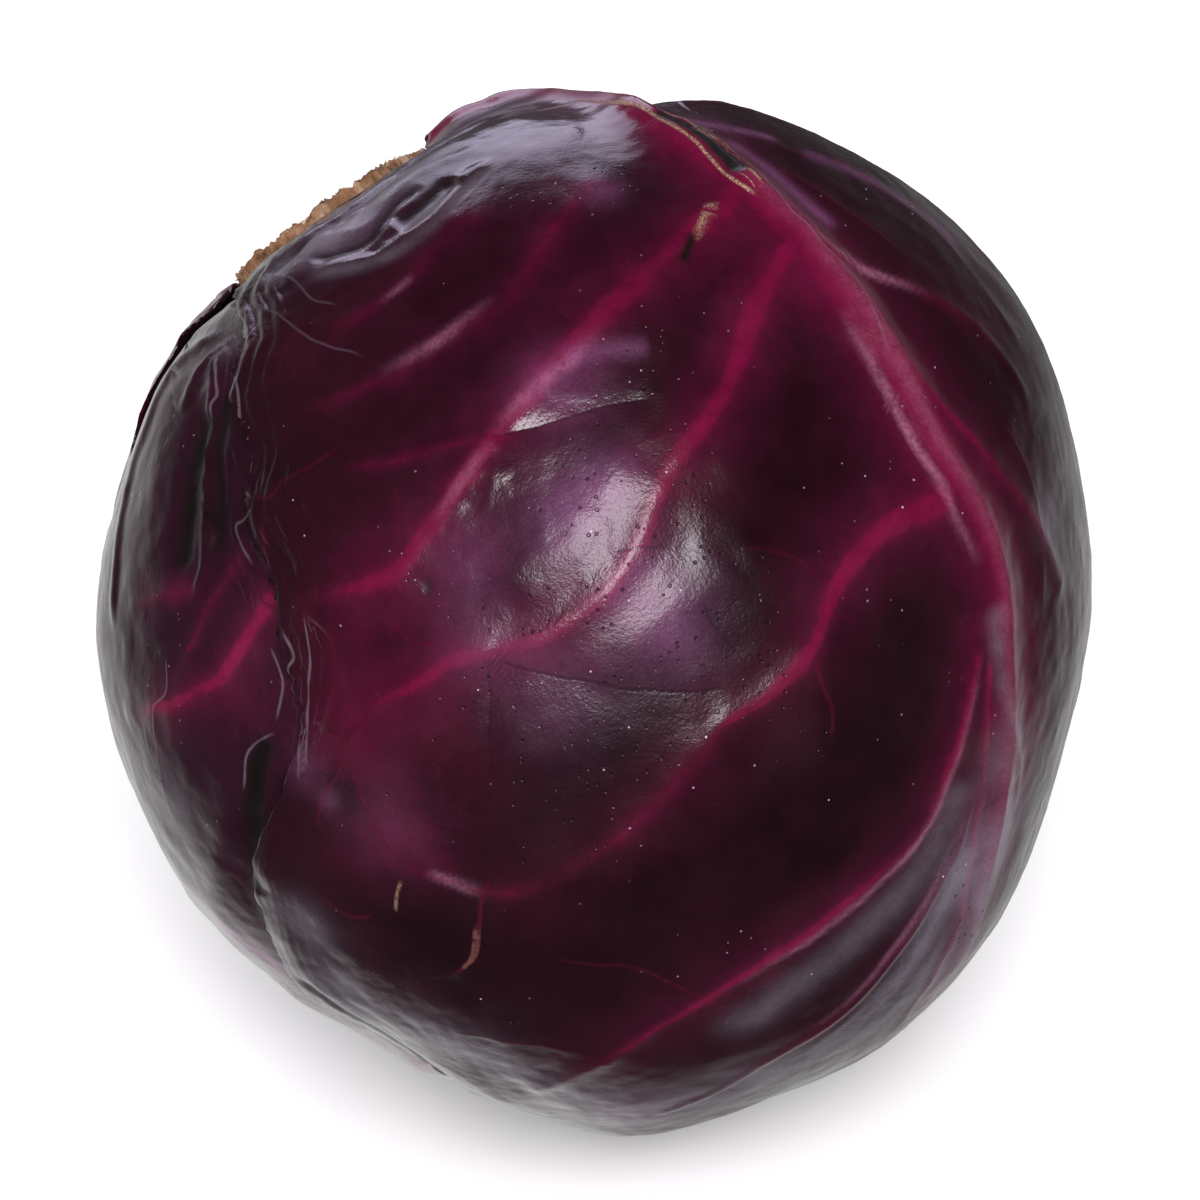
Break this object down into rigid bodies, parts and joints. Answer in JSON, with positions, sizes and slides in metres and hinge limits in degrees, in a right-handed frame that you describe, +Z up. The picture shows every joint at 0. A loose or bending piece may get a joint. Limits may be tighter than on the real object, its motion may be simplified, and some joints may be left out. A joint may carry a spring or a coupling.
{
  "type": "red cabbage head",
  "caption": "Whole red cabbage head with a cut stem and overlapping, ribbed wrapper leaves round a tight heart, lying on its side on a small flat spot.",
  "frame": {"origin": "middle of the small flat spot that the head rests on", "axes": "+Z up, away from the surface that it lies on; the cut stem points up and to -X, and the leaf with the large midrib faces -Y"},
  "size_m": [0.1473, 0.1521, 0.1517],
  "materials": {
    "wrapper_leaf": "waxy, thick dark purple leaf blade, semi-gloss, with crimson ribs and a thin grey-lavender bloom",
    "heart_leaf": "waxy lighter purple inner leaf, semi-gloss, with pale ribs",
    "cut_stem": "dried tan-brown fibrous cut face of the stem, matt"
  },
  "bodies": {
    "root": {"leaf_front": "wrapper_leaf", "leaf_back": "wrapper_leaf", "leaf_left": "wrapper_leaf", "leaf_right": "wrapper_leaf", "leaf_lower": "wrapper_leaf", "heart_leaves": "heart_leaf", "cut_stem": "cut_stem"}
  },
  "joints": []
}
